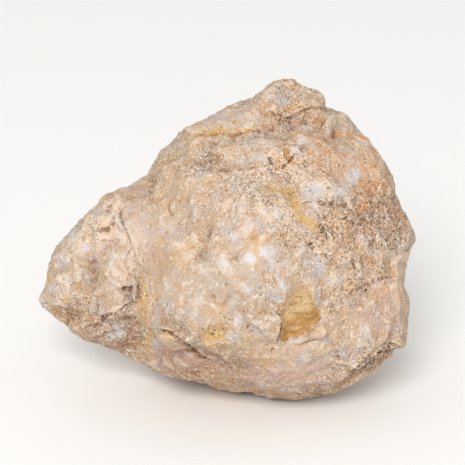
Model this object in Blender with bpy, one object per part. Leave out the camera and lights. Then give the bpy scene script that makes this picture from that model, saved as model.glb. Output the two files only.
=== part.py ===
# A closed quartz geode: one lumpy nodule, about 120 mm across, in its chalky rind.
#
# The stone is worked in its own frame: across (to the right), up and out (towards the viewer),
# because the side that faces the viewer is the best known one. That frame leans back by LEAN
# degrees, and the finished nodule is worn flat underneath and set down on z = 0.

import math

import bpy
import numpy as np
from mathutils import Matrix, Vector, noise

MM = 0.001

# Driving dimensions, in millimetres unless the name says otherwise
LEAN = 20.0  # degrees between the stone frame's up and the world's up
FLAT_DEPTH = 43.2  # how far below the stone's centre the flat resting spot is worn
BLEND = 7.0  # how softly the nodule's lumps run into each other
REACH = 90.0  # no part of the stone is farther than this from its centre
WANDER = 4.0  # how far noise moves the forms of the viewer's side about
WANDER_SPAN = 9.0  # size of that noise
TRIANGLES = 9000  # what the finished solid is thinned to
SPHERE_STEPS = 7  # subdivisions of the sphere that the stone is worked from
SEARCH_STEPS = 60  # along each direction, for the place where it leaves the lumps
SEARCH_HALVINGS = 16
SEED = 11

# The rind's knobbliness, in three sizes of noise: (size, height)
CLODS = (15.0, 2.4)
KNOBS = (8.0, 2.6)
BITS = (4.0, 0.7)
KNOB_LEVEL = 0.22  # strength of noise at which the rind neither swells into a knob nor sinks
ROUGHNESS_LIMITS = (0.25, 2.0)  # least and most share of it

# How the stone is scaled to its outline: by bearing, broadly all over and finely at the edge
OUTLINE_SLOTS = 240
OUTLINE_PASSES = 3
BROAD_SLOTS = 21
BROAD_REACH = 0.75  # how far round to the viewer's side and the back each scaling fades out
FINE_REACH = 0.34

RIND = (0.66, 0.49, 0.34, 1.0)
RIND_ROUGHNESS = 0.88

# The lumps that the nodule grew together from: (centre, half sizes), each across, up, out
LUMPS = [
    ((8.0, 2.0, 0.0), (43.0, 45.0, 44.0)),
    ((2.0, -8.0, 9.0), (38.0, 33.0, 38.0)),
    ((-15.0, 1.0, -2.0), (22.5, 29.0, 33.0)),
    ((24.0, 23.0, -3.0), (27.0, 27.0, 33.0)),
    ((11.0, 38.5, -4.0), (19.0, 17.0, 25.0)),
    ((-13.0, 25.0, -3.0), (21.0, 18.0, 30.0)),
    ((33.0, -18.0, 3.0), (20.0, 20.0, 25.0)),
    ((42.0, 5.0, -3.0), (12.0, 7.0, 20.0)),
    ((8.0, -23.0, 5.0), (35.0, 20.5, 31.0)),
    ((-30.0, -2.0, -7.0), (23.0, 25.0, 26.0)),
    ((-47.0, -9.0, -6.0), (20.0, 16.0, 21.0)),
    ((-34.0, -17.0, -7.0), (27.0, 17.0, 24.0)),
]

# The outline seen from the viewer's side, clockwise from the nose: (across, up)
OUTLINE = [
    (-66.9, -14.0), (-65.4, -11.5), (-63.0, -1.0), (-61.0, 3.6), (-56.8, 7.4), (-53.8, 11.2),
    (-49.4, 15.2), (-45.5, 19.5), (-37.4, 22.9), (-32.5, 25.7), (-29.5, 31.0), (-21.0, 39.5),
    (-8.0, 46.0), (2.0, 50.6), (8.6, 55.8), (13.5, 56.0), (17.0, 54.2), (22.0, 52.2),
    (24.0, 50.4), (25.4, 48.2), (27.8, 46.8), (31.0, 45.2), (36.5, 39.8), (41.5, 34.4),
    (45.2, 28.9), (47.6, 24.5), (48.6, 18.0), (53.0, 10.3), (54.4, 4.8), (51.9, 1.0),
    (51.2, -5.0), (50.6, -9.7), (52.2, -13.0), (52.2, -18.5), (51.0, -21.5), (51.0, -26.0),
    (50.0, -29.6), (46.8, -30.0), (45.6, -32.6), (42.8, -34.0), (41.6, -36.2), (34.6, -40.6),
    (27.0, -43.8), (16.0, -46.5), (6.5, -46.0), (1.5, -44.0), (-8.5, -43.3), (-15.5, -40.7),
    (-26.5, -39.2), (-31.6, -36.2), (-45.0, -30.4), (-53.6, -27.4), (-56.6, -24.9), (-66.0, -16.3),
]

# Swellings and hollows of the viewer's side: (across, up, half width, half height, turn, height)
FRONT_FORMS = [
    # The domes of the main body
    (3.0, -2.0, 19.0, 16.0, 15.0, 4.2),
    (-17.0, -13.5, 15.0, 12.0, 20.0, 4.2),
    (-1.0, 13.0, 10.0, 8.0, 10.0, 1.8),
    (8.5, 15.5, 7.0, 6.0, -20.0, 1.8),
    (22.0, 18.5, 9.0, 6.0, 10.0, 2.8),
    (-25.0, 12.0, 8.0, 14.0, -14.0, 1.6),
    (8.0, 30.0, 10.0, 6.0, 10.0, 1.6),
    (36.0, 28.0, 9.0, 9.0, 30.0, 1.8),
    # The left lobe: its upper roll, its round boss, the block below that and the hollows between
    (-47.5, 9.0, 4.6, 8.5, -38.0, 3.6),
    (-40.0, -3.6, 5.4, 7.4, -6.0, 4.8),
    (-41.0, -15.2, 6.0, 3.6, 6.0, 3.8),
    (-56.5, -8.0, 5.0, 8.0, -20.0, 2.4),
    (-49.0, -4.4, 3.6, 6.0, 6.0, -1.9),
    (-38.0, -24.5, 7.0, 4.4, -18.0, -3.6),
    (-57.0, -20.5, 4.4, 3.0, -38.0, -1.8),
    (-47.6, -22.0, 3.4, 2.8, -20.0, -1.6),
    # The knob at the top, the slab beside it and the dark recess beneath them
    (16.0, 50.0, 9.0, 4.0, -14.0, 1.0),
    (9.0, 41.5, 13.0, 2.6, 16.0, -2.2),
    (20.0, 48.5, 3.4, 3.4, 0.0, 0.9),
    (10.5, 52.0, 4.0, 2.6, 20.0, 1.4),
    (15.0, 47.0, 3.0, 2.0, 20.0, -1.4),
    (0.0, 46.0, 14.0, 3.6, 24.0, 2.4),
    (-16.0, 40.0, 7.0, 3.0, 26.0, 1.6),
    (-12.0, 30.0, 6.0, 3.4, -14.0, -2.8),
    (27.0, 40.0, 2.6, 6.4, -38.0, -0.5),
    # The crumbling valley on the right, the pale ridge below it and the pitted slope under that
    (36.0, 11.5, 13.0, 5.0, 26.0, -2.2),
    (48.0, 12.0, 8.0, 4.4, 40.0, -1.2),
    (46.0, 3.6, 12.0, 2.8, 10.0, 1.6),
    (41.0, -6.0, 11.0, 6.5, 8.0, 2.6),
    (46.0, -17.0, 8.0, 9.0, 0.0, 1.6),
    (34.0, -24.0, 9.0, 7.0, 10.0, 1.4),
    # The undercut below the lower dome and the worn face under it
    (-18.0, -31.0, 13.0, 4.0, -26.0, -4.2),
    (-3.6, -36.4, 8.0, 4.2, -15.0, -2.8),
    (15.0, -24.0, 7.0, 5.0, 10.0, -1.4),
]

# Ledges of the viewer's side: (points, rise of the lip, drop at its foot, reach of both). The lip
# is on the left of a ledge as it runs.
LEDGES = [
    # The main body's edge over the left lobe
    ([(-36.5, 20.0), (-39.9, 16.0), (-39.9, 9.3), (-36.8, 4.5), (-35.8, -0.3), (-34.4, -6.7),
      (-34.6, -12.8), (-34.0, -20.0), (-32.4, -27.0), (-31.0, -35.0)], 1.2, 1.5, 6.0),
    # The block of the left lobe and its undercut
    ([(-34.8, -14.0), (-38.0, -17.2), (-42.0, -18.8), (-46.0, -20.0)], -1.8, -1.4, 3.6),
    # The ochre scar's edges
    ([(13.1, -15.7), (10.9, -19.0), (12.2, -22.7), (11.5, -27.5)], -1.3, -0.9, 6.0),
    ([(11.5, -27.5), (17.0, -26.6), (21.4, -25.3), (25.3, -21.0)], 1.3, 0.9, 5.0),
    # The lower dome's lip over its undercut
    ([(-27.0, -20.5), (-22.8, -26.0), (-18.0, -30.0), (-12.0, -33.0), (-4.0, -34.0)],
     2.0, 1.4, 6.0),
    # The overhang at the lower right
    ([(29.0, -36.0), (36.0, -33.4), (40.0, -33.0), (44.0, -30.0), (49.5, -28.2)], 2.2, 1.8, 5.0),
    # The lower right lobe's edge under the pitted slope
    ([(32.5, -14.5), (38.0, -10.6), (45.5, -7.6)], -0.9, -0.4, 4.0),
]

# Grooves of the viewer's side: (points, depth, half width)
GROOVES = [
    ([(-17.0, 38.8), (-4.5, 38.4), (5.0, 39.6), (13.0, 42.4), (22.0, 46.0)], 2.2, 1.8),
    ([(-47.0, 9.0), (-43.6, 8.0), (-41.0, 5.0)], 1.5, 1.5),
    ([(-46.0, 4.6), (-41.0, 4.4), (-37.0, 6.2)], 0.9, 1.6),
    ([(-10.9, 15.7), (-11.8, 9.3), (-10.9, 2.9), (-13.1, -2.6)], 1.4, 1.6),
    ([(-10.9, -9.9), (-6.4, -13.4), (-2.9, -15.7)], 1.4, 1.4),
    ([(30.6, 45.2), (26.0, 40.5), (23.0, 36.0)], 1.6, 1.6),
    ([(-5.8, -2.6), (-3.5, 1.3), (1.3, 3.5), (5.1, 5.4)], 1.2, 1.6),
    ([(17.0, 17.3), (24.0, 15.6), (30.0, 15.4)], 1.8, 1.6),
    ([(23.6, 12.0), (26.0, 6.0)], 1.6, 1.5),
    ([(-47.6, -15.8), (-45.6, -21.0), (-51.0, -22.8)], 1.5, 1.4),
    ([(-39.0, -10.4), (-36.0, -12.4), (-35.4, -15.4)], 2.2, 1.5),
]

# Zones of the viewer's side: (across, up, half width, half height, share of the full roughness)
ROUGH_ZONES = [
    (-31.0, 8.0, 8.0, 12.0, 0.30),
    (-24.0, -4.0, 9.0, 10.0, 0.45),
    (2.0, -39.0, 26.0, 7.0, 0.45),
    (46.0, -18.0, 6.0, 9.0, 0.5),
    (-10.0, 42.0, 12.0, 3.0, 0.45),
    (36.0, 14.0, 16.0, 9.0, 1.2),
    (36.0, -9.0, 9.0, 7.0, 0.8),
    (35.0, 30.0, 15.0, 12.0, 0.5),
    (22.0, 46.0, 14.0, 8.0, 1.5),
    (-50.0, -18.0, 12.0, 8.0, 1.5),
]

# Worn and broken faces of the hidden sides: (direction across, up, out; distance from the centre)
BREAK_SHARE = 0.78  # how much of the bulge beyond a broken face is gone
BROKEN_FACES = [
    ((0.50, 0.38, -0.78), 39.0),
    ((-0.35, 0.42, -0.84), 35.0),
    ((0.30, -0.42, -0.86), 40.5),
    ((-0.42, -0.28, -0.86), 36.0),
    ((0.90, -0.10, -0.42), 48.0),
    ((-0.10, 0.92, -0.38), 44.0),
    ((0.48, -0.78, -0.40), 40.0),
]
HIDDEN_LUMPS = 52  # swellings and hollows scattered over the hidden sides
HIDDEN_LUMP_WIDTHS = (0.11, 0.28)  # half widths, as shares of the distance from the centre
HIDDEN_LUMP_HEIGHTS = (1.2, 3.2)

# The underside's hump, which the flat is worn into
FOOT_PLACE = (4.0, -1.0)  # world x and y under the middle of the stone's weight
FOOT_RADIUS = 19.0
FOOT_HEIGHT = 4.5

GROUND_SLAB = (300.0, 100.0)  # width and thickness of the slab that wears the flat


def ease(low, high, x):
    """0 below low, 1 above high and smooth in between."""
    t = np.clip((x - low) / (high - low), 0.0, 1.0)
    return t * t * (3.0 - 2.0 * t)


def sphere_directions(steps):
    """Unit directions (one row each) and the triangles of a finely divided sphere."""
    bpy.ops.mesh.primitive_ico_sphere_add(subdivisions=steps, radius=1.0)
    ball = bpy.context.object
    mesh = ball.data
    points = np.empty(len(mesh.vertices) * 3)
    mesh.vertices.foreach_get("co", points)
    faces = np.empty(len(mesh.polygons) * 3, int)
    mesh.polygons.foreach_get("vertices", faces)
    bpy.data.objects.remove(ball)
    bpy.data.meshes.remove(mesh)
    points = points.reshape(-1, 3)
    return points / np.linalg.norm(points, axis=1, keepdims=True), faces.reshape(-1, 3)


def outside(points):
    """Below 0 inside the lumps grown together, above 0 outside them."""
    joined = None
    for centre, sizes in LUMPS:
        gap = (np.linalg.norm((points - centre) / sizes, axis=-1) - 1.0) * min(sizes)
        if joined is None:
            joined = gap
            continue
        share = np.clip(0.5 + 0.5 * (joined - gap) / BLEND, 0.0, 1.0)
        joined = joined * (1.0 - share) + gap * share - BLEND * share * (1.0 - share)
    return joined


def grown_form(directions):
    """Where each direction leaves the lumps for the last time, then that place made exact."""
    steps = np.linspace(10.0, REACH, SEARCH_STEPS)
    inner = np.full(len(directions), steps[0])
    for step in steps:
        inner = np.where(outside(directions * step) < 0.0, step, inner)
    outer = inner + steps[1] - steps[0]
    for _ in range(SEARCH_HALVINGS):
        middle = (inner + outer) / 2.0
        within = outside(directions * middle[:, None]) < 0.0
        inner = np.where(within, middle, inner)
        outer = np.where(within, outer, middle)
    return directions * ((inner + outer) / 2.0)[:, None]


def break_faces(points):
    """Flattens the hidden sides against their broken faces, and leaves a little of each bulge."""
    for direction, distance in BROKEN_FACES:
        normal = np.array(direction) / np.linalg.norm(direction)
        beyond = points @ normal - distance
        points = points - np.outer(np.maximum(beyond, 0.0) * BREAK_SHARE, normal)
    return points


def turned(across, up, centre, degrees):
    """Places measured from a centre, along and across a form that is turned by some degrees."""
    c, s = math.cos(math.radians(degrees)), math.sin(math.radians(degrees))
    dx, dy = across - centre[0], up - centre[1]
    return c * dx + s * dy, -s * dx + c * dy


def path_distance(across, up, path):
    """Distance to a path, positive on its left-hand side as it runs, and 0 to 1 along it."""
    best = np.full(across.shape, 1e9)
    side = np.ones(across.shape)
    along = np.zeros(across.shape)
    steps = len(path) - 1
    for i, (start, end) in enumerate(zip(path[:-1], path[1:])):
        run = np.subtract(end, start)
        length = np.hypot(*run)
        dx, dy = across - start[0], up - start[1]
        t = np.clip((dx * run[0] + dy * run[1]) / length**2, 0.0, 1.0)
        distance = np.hypot(dx - t * run[0], dy - t * run[1])
        nearer = distance < best
        best = np.where(nearer, distance, best)
        side = np.where(nearer, np.sign(run[0] * dy - run[1] * dx), side)
        along = np.where(nearer, (i + t) / steps, along)
    return best * side, along


def wandered(across, up):
    """The same places moved about by up to WANDER, so that no ledge or dome runs clean."""
    moved = np.empty((len(across), 2))
    for i, (x, y) in enumerate(zip(across, up)):
        place = Vector((x, y, 0.0)) / WANDER_SPAN
        moved[i] = noise.noise(place), noise.noise(place + Vector((9.0, 4.0, 2.0)))
    return across + WANDER * moved[:, 0], up + WANDER * moved[:, 1]


def front_relief(across, up):
    """How far the viewer's side stands out at each place: its domes, ledges and grooves."""
    across, up = wandered(across, up)
    rise = np.zeros(across.shape)
    for x, y, half_width, half_height, turn, height in FRONT_FORMS:
        dx, dy = turned(across, up, (x, y), turn)
        rise += height * np.exp(-((dx / half_width) ** 2 + (dy / half_height) ** 2))
    for path, lip, foot, reach in LEDGES:
        distance, along = path_distance(across, up, path)
        ends = ease(0.0, 0.12, along) * ease(0.0, 0.12, 1.0 - along)
        near = np.exp(-np.abs(distance) / reach) * ends
        upper = ease(-0.9, 0.9, distance)
        rise += near * (lip * upper - foot * (1.0 - upper))
    for path, depth, half_width in GROOVES:
        distance, along = path_distance(across, up, path)
        ends = ease(0.0, 0.15, along) * ease(0.0, 0.15, 1.0 - along)
        rise -= depth * ends * np.exp(-((distance / half_width) ** 2))
    return rise


def front_roughness(across, up):
    """Share of the full roughness at each place of the viewer's side."""
    share = np.ones(across.shape)
    for x, y, half_width, half_height, factor in ROUGH_ZONES:
        near = np.exp(-(((across - x) / half_width) ** 2 + ((up - y) / half_height) ** 2))
        share += (factor - 1.0) * near
    return np.clip(share, *ROUGHNESS_LIMITS)


def hidden_relief(directions):
    """Lumps and hollows scattered over the sides that the viewer doesn't see."""
    rng = np.random.default_rng(SEED)
    rise = np.zeros(len(directions))
    for _ in range(HIDDEN_LUMPS):
        centre = rng.normal(size=3)
        centre[2] = -abs(centre[2]) - 0.2
        centre /= np.linalg.norm(centre)
        width = rng.uniform(*HIDDEN_LUMP_WIDTHS)
        height = rng.uniform(*HIDDEN_LUMP_HEIGHTS) * rng.choice([1.0, 1.0, -1.0])
        gap = np.linalg.norm(directions - centre, axis=1)
        rise += height * np.exp(-((gap / width) ** 2))
    return rise


def rough_relief(points):
    """The rind's knobbliness: clods, the knobs between them and bits."""
    rise = np.empty(len(points))
    for i, point in enumerate(points):
        place = Vector(point)
        clods = noise.noise(place / CLODS[0])
        knobs = KNOB_LEVEL - abs(noise.noise(place / KNOBS[0] + Vector((31.0, 7.0, 5.0))))
        bits = noise.noise(place / BITS[0] + Vector((3.0, 17.0, 50.0)))
        rise[i] = CLODS[1] * clods + KNOBS[1] * knobs + BITS[1] * bits
    return rise


def vertex_normals(points, faces):
    """Area-weighted unit normals."""
    corners = points[faces]
    crosses = np.cross(corners[:, 1] - corners[:, 0], corners[:, 2] - corners[:, 0])
    normals = np.zeros_like(points)
    for corner in range(3):
        np.add.at(normals, faces[:, corner], crosses)
    return normals / np.linalg.norm(normals, axis=1, keepdims=True)


def outline_radius(bearings):
    """Distance from the centre to the outline's straight edges at each bearing in degrees."""
    corners = np.array(OUTLINE)
    corner_bearings = np.degrees(np.arctan2(corners[:, 1], corners[:, 0])) % 360.0
    corners = corners[np.argsort(corner_bearings)]
    after = np.searchsorted(np.sort(corner_bearings), bearings) % len(corners)
    start, end = corners[after - 1], corners[after]
    run = end - start
    ray_x, ray_y = np.cos(np.radians(bearings)), np.sin(np.radians(bearings))
    return (start[:, 0] * run[:, 1] - start[:, 1] * run[:, 0]) / (ray_x * run[:, 1] - ray_y * run[:, 0])


def trim_to_outline(points, directions):
    """Scales each bearing until the stone, seen from the viewer's side, fills its outline."""
    middles = (np.arange(OUTLINE_SLOTS) + 0.5) * 360.0 / OUTLINE_SLOTS
    wanted = outline_radius(middles)
    broad = np.hanning(BROAD_SLOTS)
    broad /= broad.sum()
    ends = BROAD_SLOTS // 2
    for _ in range(OUTLINE_PASSES):
        bearing = np.degrees(np.arctan2(points[:, 1], points[:, 0])) % 360.0
        radius = np.hypot(points[:, 0], points[:, 1])
        slot = np.minimum((bearing / 360.0 * OUTLINE_SLOTS).astype(int), OUTLINE_SLOTS - 1)
        reached = np.zeros(OUTLINE_SLOTS)
        np.maximum.at(reached, slot, radius)
        ratio = wanted / reached
        smooth = np.convolve(np.concatenate([ratio[-ends:], ratio, ratio[:ends]]), broad, "valid")
        coarse = np.interp(bearing, middles, smooth, period=360.0)
        fine = np.interp(bearing, middles, ratio - smooth, period=360.0)
        near = np.exp(-((directions[:, 2] / BROAD_REACH) ** 2))
        edge = np.exp(-((directions[:, 2] / FINE_REACH) ** 2))
        points = points.copy()
        points[:, :2] *= (1.0 + (coarse - 1.0) * near + fine * edge)[:, None]
    return points


def add_foot(points):
    """Lets the underside down into a broad hump below the middle of the stone's weight."""
    lean = math.radians(LEAN)
    world_y = math.sin(lean) * points[:, 1] - math.cos(lean) * points[:, 2]
    world_z = math.cos(lean) * points[:, 1] + math.sin(lean) * points[:, 2]
    gap = np.hypot(points[:, 0] - FOOT_PLACE[0], world_y - FOOT_PLACE[1])
    drop = FOOT_HEIGHT * np.exp(-((gap / FOOT_RADIUS) ** 2)) * (world_z < 0.0)
    down = np.array((0.0, -math.cos(lean), -math.sin(lean)))
    return points + np.outer(drop, down)


def stone_points():
    """All the stone's points in its own frame, in millimetres, and its triangles."""
    directions, faces = sphere_directions(SPHERE_STEPS)
    points = trim_to_outline(break_faces(grown_form(directions)), directions)
    normals = vertex_normals(points, faces)
    facing = ease(-0.05, 0.30, normals[:, 2])
    rise = facing * front_relief(points[:, 0], points[:, 1])
    rise += (1.0 - facing) * hidden_relief(directions)
    roughness = 1.0 + facing * (front_roughness(points[:, 0], points[:, 1]) - 1.0)
    rise += roughness * rough_relief(points)
    points = points + normals * rise[:, None]
    return trim_to_outline(add_foot(points), directions), faces


def material():
    """Dry, chalky rind."""
    made = bpy.data.materials.new("rind")
    made.use_nodes = True
    shader = made.node_tree.nodes["Principled BSDF"]
    shader.inputs["Base Color"].default_value = RIND
    shader.inputs["Roughness"].default_value = RIND_ROUGHNESS
    shader.inputs["Metallic"].default_value = 0.0
    return made


def ground_cutter(lowest):
    """A slab whose top is the plane that the stone's flat spot is worn to."""
    width, thickness = GROUND_SLAB[0] * MM, GROUND_SLAB[1] * MM
    bpy.ops.mesh.primitive_cube_add(size=1.0, location=(0.0, 0.0, lowest * MM - thickness / 2.0))
    slab = bpy.context.object
    slab.name = "ground_cutter"
    slab.scale = (width, width, thickness)
    slab.hide_render = True
    slab.display_type = "WIRE"
    return slab


def apply_modifiers(stone):
    """Makes the mesh that the modifiers show the stone's own mesh."""
    bpy.context.view_layer.update()
    shown = stone.evaluated_get(bpy.context.evaluated_depsgraph_get())
    finished = bpy.data.meshes.new_from_object(shown)
    stone.modifiers.clear()
    stone.data = finished


def build():
    for old in list(bpy.data.objects):
        bpy.data.objects.remove(old)
    points, faces = stone_points()
    lean = math.radians(LEAN)
    to_world = Matrix((
        (1.0, 0.0, 0.0),
        (0.0, math.sin(lean), -math.cos(lean)),
        (0.0, math.cos(lean), math.sin(lean)),
    ))
    mesh = bpy.data.meshes.new("geode")
    mesh.from_pydata([to_world @ Vector(p) * MM for p in points], [], faces.tolist())
    stone = bpy.data.objects.new("geode", mesh)
    bpy.context.scene.collection.objects.link(stone)
    thinner = stone.modifiers.new("thin out", "DECIMATE")
    thinner.ratio = TRIANGLES / len(faces)
    worn = stone.modifiers.new("wear flat", "BOOLEAN")
    worn.operation = "DIFFERENCE"
    worn.solver = "EXACT"
    worn.object = ground_cutter(-FLAT_DEPTH)
    apply_modifiers(stone)
    corners = np.array([corner.co for corner in stone.data.vertices])
    low, high = corners.min(axis=0), corners.max(axis=0)
    middle = (low + high) / 2.0
    stone.data.transform(Matrix.Translation((-middle[0], -middle[1], -low[2])))
    stone.data.materials.clear()
    stone.data.materials.append(material())
    for face in stone.data.polygons:
        face.use_smooth = True
    return stone


build()
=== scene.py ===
import math
import random

import bpy
import numpy as np
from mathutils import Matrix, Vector, noise
from mathutils.kdtree import KDTree


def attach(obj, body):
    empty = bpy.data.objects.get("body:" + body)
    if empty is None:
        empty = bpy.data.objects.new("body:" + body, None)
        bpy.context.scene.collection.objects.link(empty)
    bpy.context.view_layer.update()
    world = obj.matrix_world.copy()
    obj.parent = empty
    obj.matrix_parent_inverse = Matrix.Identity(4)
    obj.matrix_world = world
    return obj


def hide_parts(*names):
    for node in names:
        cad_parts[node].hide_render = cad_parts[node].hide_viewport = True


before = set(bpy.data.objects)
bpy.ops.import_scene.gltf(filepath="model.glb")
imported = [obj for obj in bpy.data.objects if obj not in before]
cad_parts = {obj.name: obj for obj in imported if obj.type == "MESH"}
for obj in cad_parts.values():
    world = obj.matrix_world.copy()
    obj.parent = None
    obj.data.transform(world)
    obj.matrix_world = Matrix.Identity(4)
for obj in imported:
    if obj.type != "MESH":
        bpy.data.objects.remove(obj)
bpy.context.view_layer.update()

# A closed quartz geode on a pale studio floor. The rind is worked up from the imported solid:
# crumbs, cracks and pits in the mesh, then stains, painted light and shade, and grain in the material, then
# loose grit.

mm = 0.001
photoSide = 465  # the photograph is 465 x 465 pixels


def linear(hexColour):
    parts = [int(hexColour[i:i + 2], 16) / 255.0 for i in (1, 3, 5)]
    return [p / 12.92 if p <= 0.04045 else ((p + 0.055) / 1.055) ** 2.4 for p in parts] + [1.0]


def ease(low, high, x):
    t = np.clip((x - low) / (high - low), 0.0, 1.0)
    return t * t * (3.0 - 2.0 * t)


def softSpot(x, y, middleX, middleY, halfX, halfY):
    # 1 in the middle, fading to nothing around it
    return np.exp(-(((x - middleX) / halfX) ** 2 + ((y - middleY) / halfY) ** 2))


def groove(gap, half):
    return np.exp(-((gap / half) ** 2))


def makeActive(ob):
    bpy.ops.object.select_all(action="DESELECT")
    ob.select_set(True)
    bpy.context.view_layer.objects.active = ob


def applyModifier(ob, kind, **settings):
    modifier = ob.modifiers.new(kind.lower(), kind)
    for name, value in settings.items():
        setattr(modifier, name, value)
    makeActive(ob)
    bpy.ops.object.modifier_apply(modifier=modifier.name)


def readAll(items, name, width=3, kind=float):
    values = np.empty(len(items) * width, kind)
    items.foreach_get(name, values)
    return values.reshape(-1, width)


def meshPoints(ob):
    return readAll(ob.data.vertices, "co")


def meshNormals(ob):
    return readAll(ob.data.vertex_normals, "vector")


# The camera stands far off with a long lens
shot = {
    "height": 20.0,  # degrees above the horizon
    "lens": 200.0,
    "sensor": 36.0,
    "pixel": 0.32 * mm,  # one pixel of the photograph, at the stone's middle
    "boxMiddle": (227.5, 240.0),  # middle of the stone's outline, in pixels
    "farthest": 20.0,
}

lift = math.radians(shot["height"])
towards = np.array((0.0, -math.cos(lift), math.sin(lift)))  # from the stone to the camera
right = np.array((1.0, 0.0, 0.0))
up = np.cross(towards, right)


def placeCamera():
    points = meshPoints(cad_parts["geode"])
    middle = (points @ towards).mean() * towards
    for axis in (right, up):
        along = points @ axis
        middle = middle + (along.min() + along.max()) / 2 * axis
    offX, offY = [(v - photoSide / 2) * shot["pixel"] for v in shot["boxMiddle"]]
    distance = shot["lens"] / shot["sensor"] * photoSide * shot["pixel"]
    data = bpy.data.cameras.new("camera")
    data.lens = shot["lens"]
    data.sensor_width = shot["sensor"]
    data.clip_end = shot["farthest"]
    camera = bpy.data.objects.new("camera", data)
    camera.location = middle - offX * right + offY * up + distance * towards
    camera.rotation_euler = (math.radians(90.0 - shot["height"]), 0.0, 0.0)
    bpy.context.scene.collection.objects.link(camera)
    bpy.context.scene.camera = camera
    return camera


camera = placeCamera()
print("camera placed")


def photoPlace(points):
    # where points fall in the photograph, in pixels
    away = points - np.array(camera.location)
    scale = shot["lens"] / shot["sensor"] * photoSide / -(away @ towards)
    return photoSide / 2 + away @ right * scale, photoSide / 2 - away @ up * scale


# The rind: the stone's whole skin
rindShape = {
    "weld": 0.01 * mm,
    "voxel": 0.40 * mm,
    "smoothing": ((0.5, 11), (-0.45, 7)),  # strength and rounds: facets off, then corners back
    "swell": 0.2 * mm,  # makes up for what the pits and cracks take off
    "triangles": 196000,
    "flatKept": (0.3 * mm, 1.2 * mm),  # the relief fades out between these heights over the floor
    "clods": (5.0 * mm, 0.9 * mm),  # size and height of each kind of relief
    "crumbs": (2.0 * mm, 1.1 * mm),
    "clumps": (1.7 * mm, 0.6 * mm),
    "bits": (1.0 * mm, 0.7 * mm),
    "reliefShare": (0.35, 0.65),  # what smooth rind has of it, and what crumbling adds
    "pits": 2600,  # tries; most of them fail on smooth rind
    "pitStrays": 0.02,
    "pitSize": (0.35 * mm, 0.95 * mm),
    "pitReach": 1.8,  # in pit sizes
    "pitShares": (0.35, 1.0),  # of the depth
    "pitDepth": 0.9 * mm,
    "scarDepth": 0.4 * mm,
    "scarWaver": (1.0, 1.6),
    "scarBrink": (-0.5, 2.0),  # the scar sinks in between these, in pixels inside its outline
    "scarCalm": 0.45,  # how much of the relief the scar takes away
    "front": (0.0, 0.14),  # the photograph's side fades in between these; 1 faces the camera
    "hidden": (-0.14, 0.04),  # what is scattered over the other sides fades out between these
    "broad": 7.0 * mm,  # the two noises that push edges about; wavers say how far, in pixels
    "fine": 1.9 * mm,
    "crumbledUsual": 0.38,
    "crumbledLeast": 0.03,
    "crumbledBroad": (16.0 * mm, 0.33),  # size of the noise, and what it adds at most
    "crumbledFine": (4.5 * mm, 0.55),  # size of the noise, and by what share it changes the whole
    "crumbledWaver": (5.0, 1.5),
    "crackWaver": (2.0, 1.3),
    "crackBroken": (2.6 * mm, -0.5, 0.1),  # cracks break off where this noise is low
    "crackShade": 0.9,  # half width of the dark strip along a crack, mm
    "hiddenLines": (15.0 * mm, 10.0),  # a noise whose zero lines are cracks, and mm to one step of it
    "hiddenPatches": (9.0 * mm, 0.12, 0.4),  # only where this noise is high
    # the hidden cracks' darkness below is that of their painted shade
    "hiddenCut": (0.7, 0.7, 0.8),  # depth and half width in mm, and darkness
    "ledgeWaver": (1.5, 1.5),
    "ledgeBroken": (-0.75, -0.1),  # ledges break off where the fine noise is low
    "ledgeHalf": 0.25,  # half width of the step itself, mm
}
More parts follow.
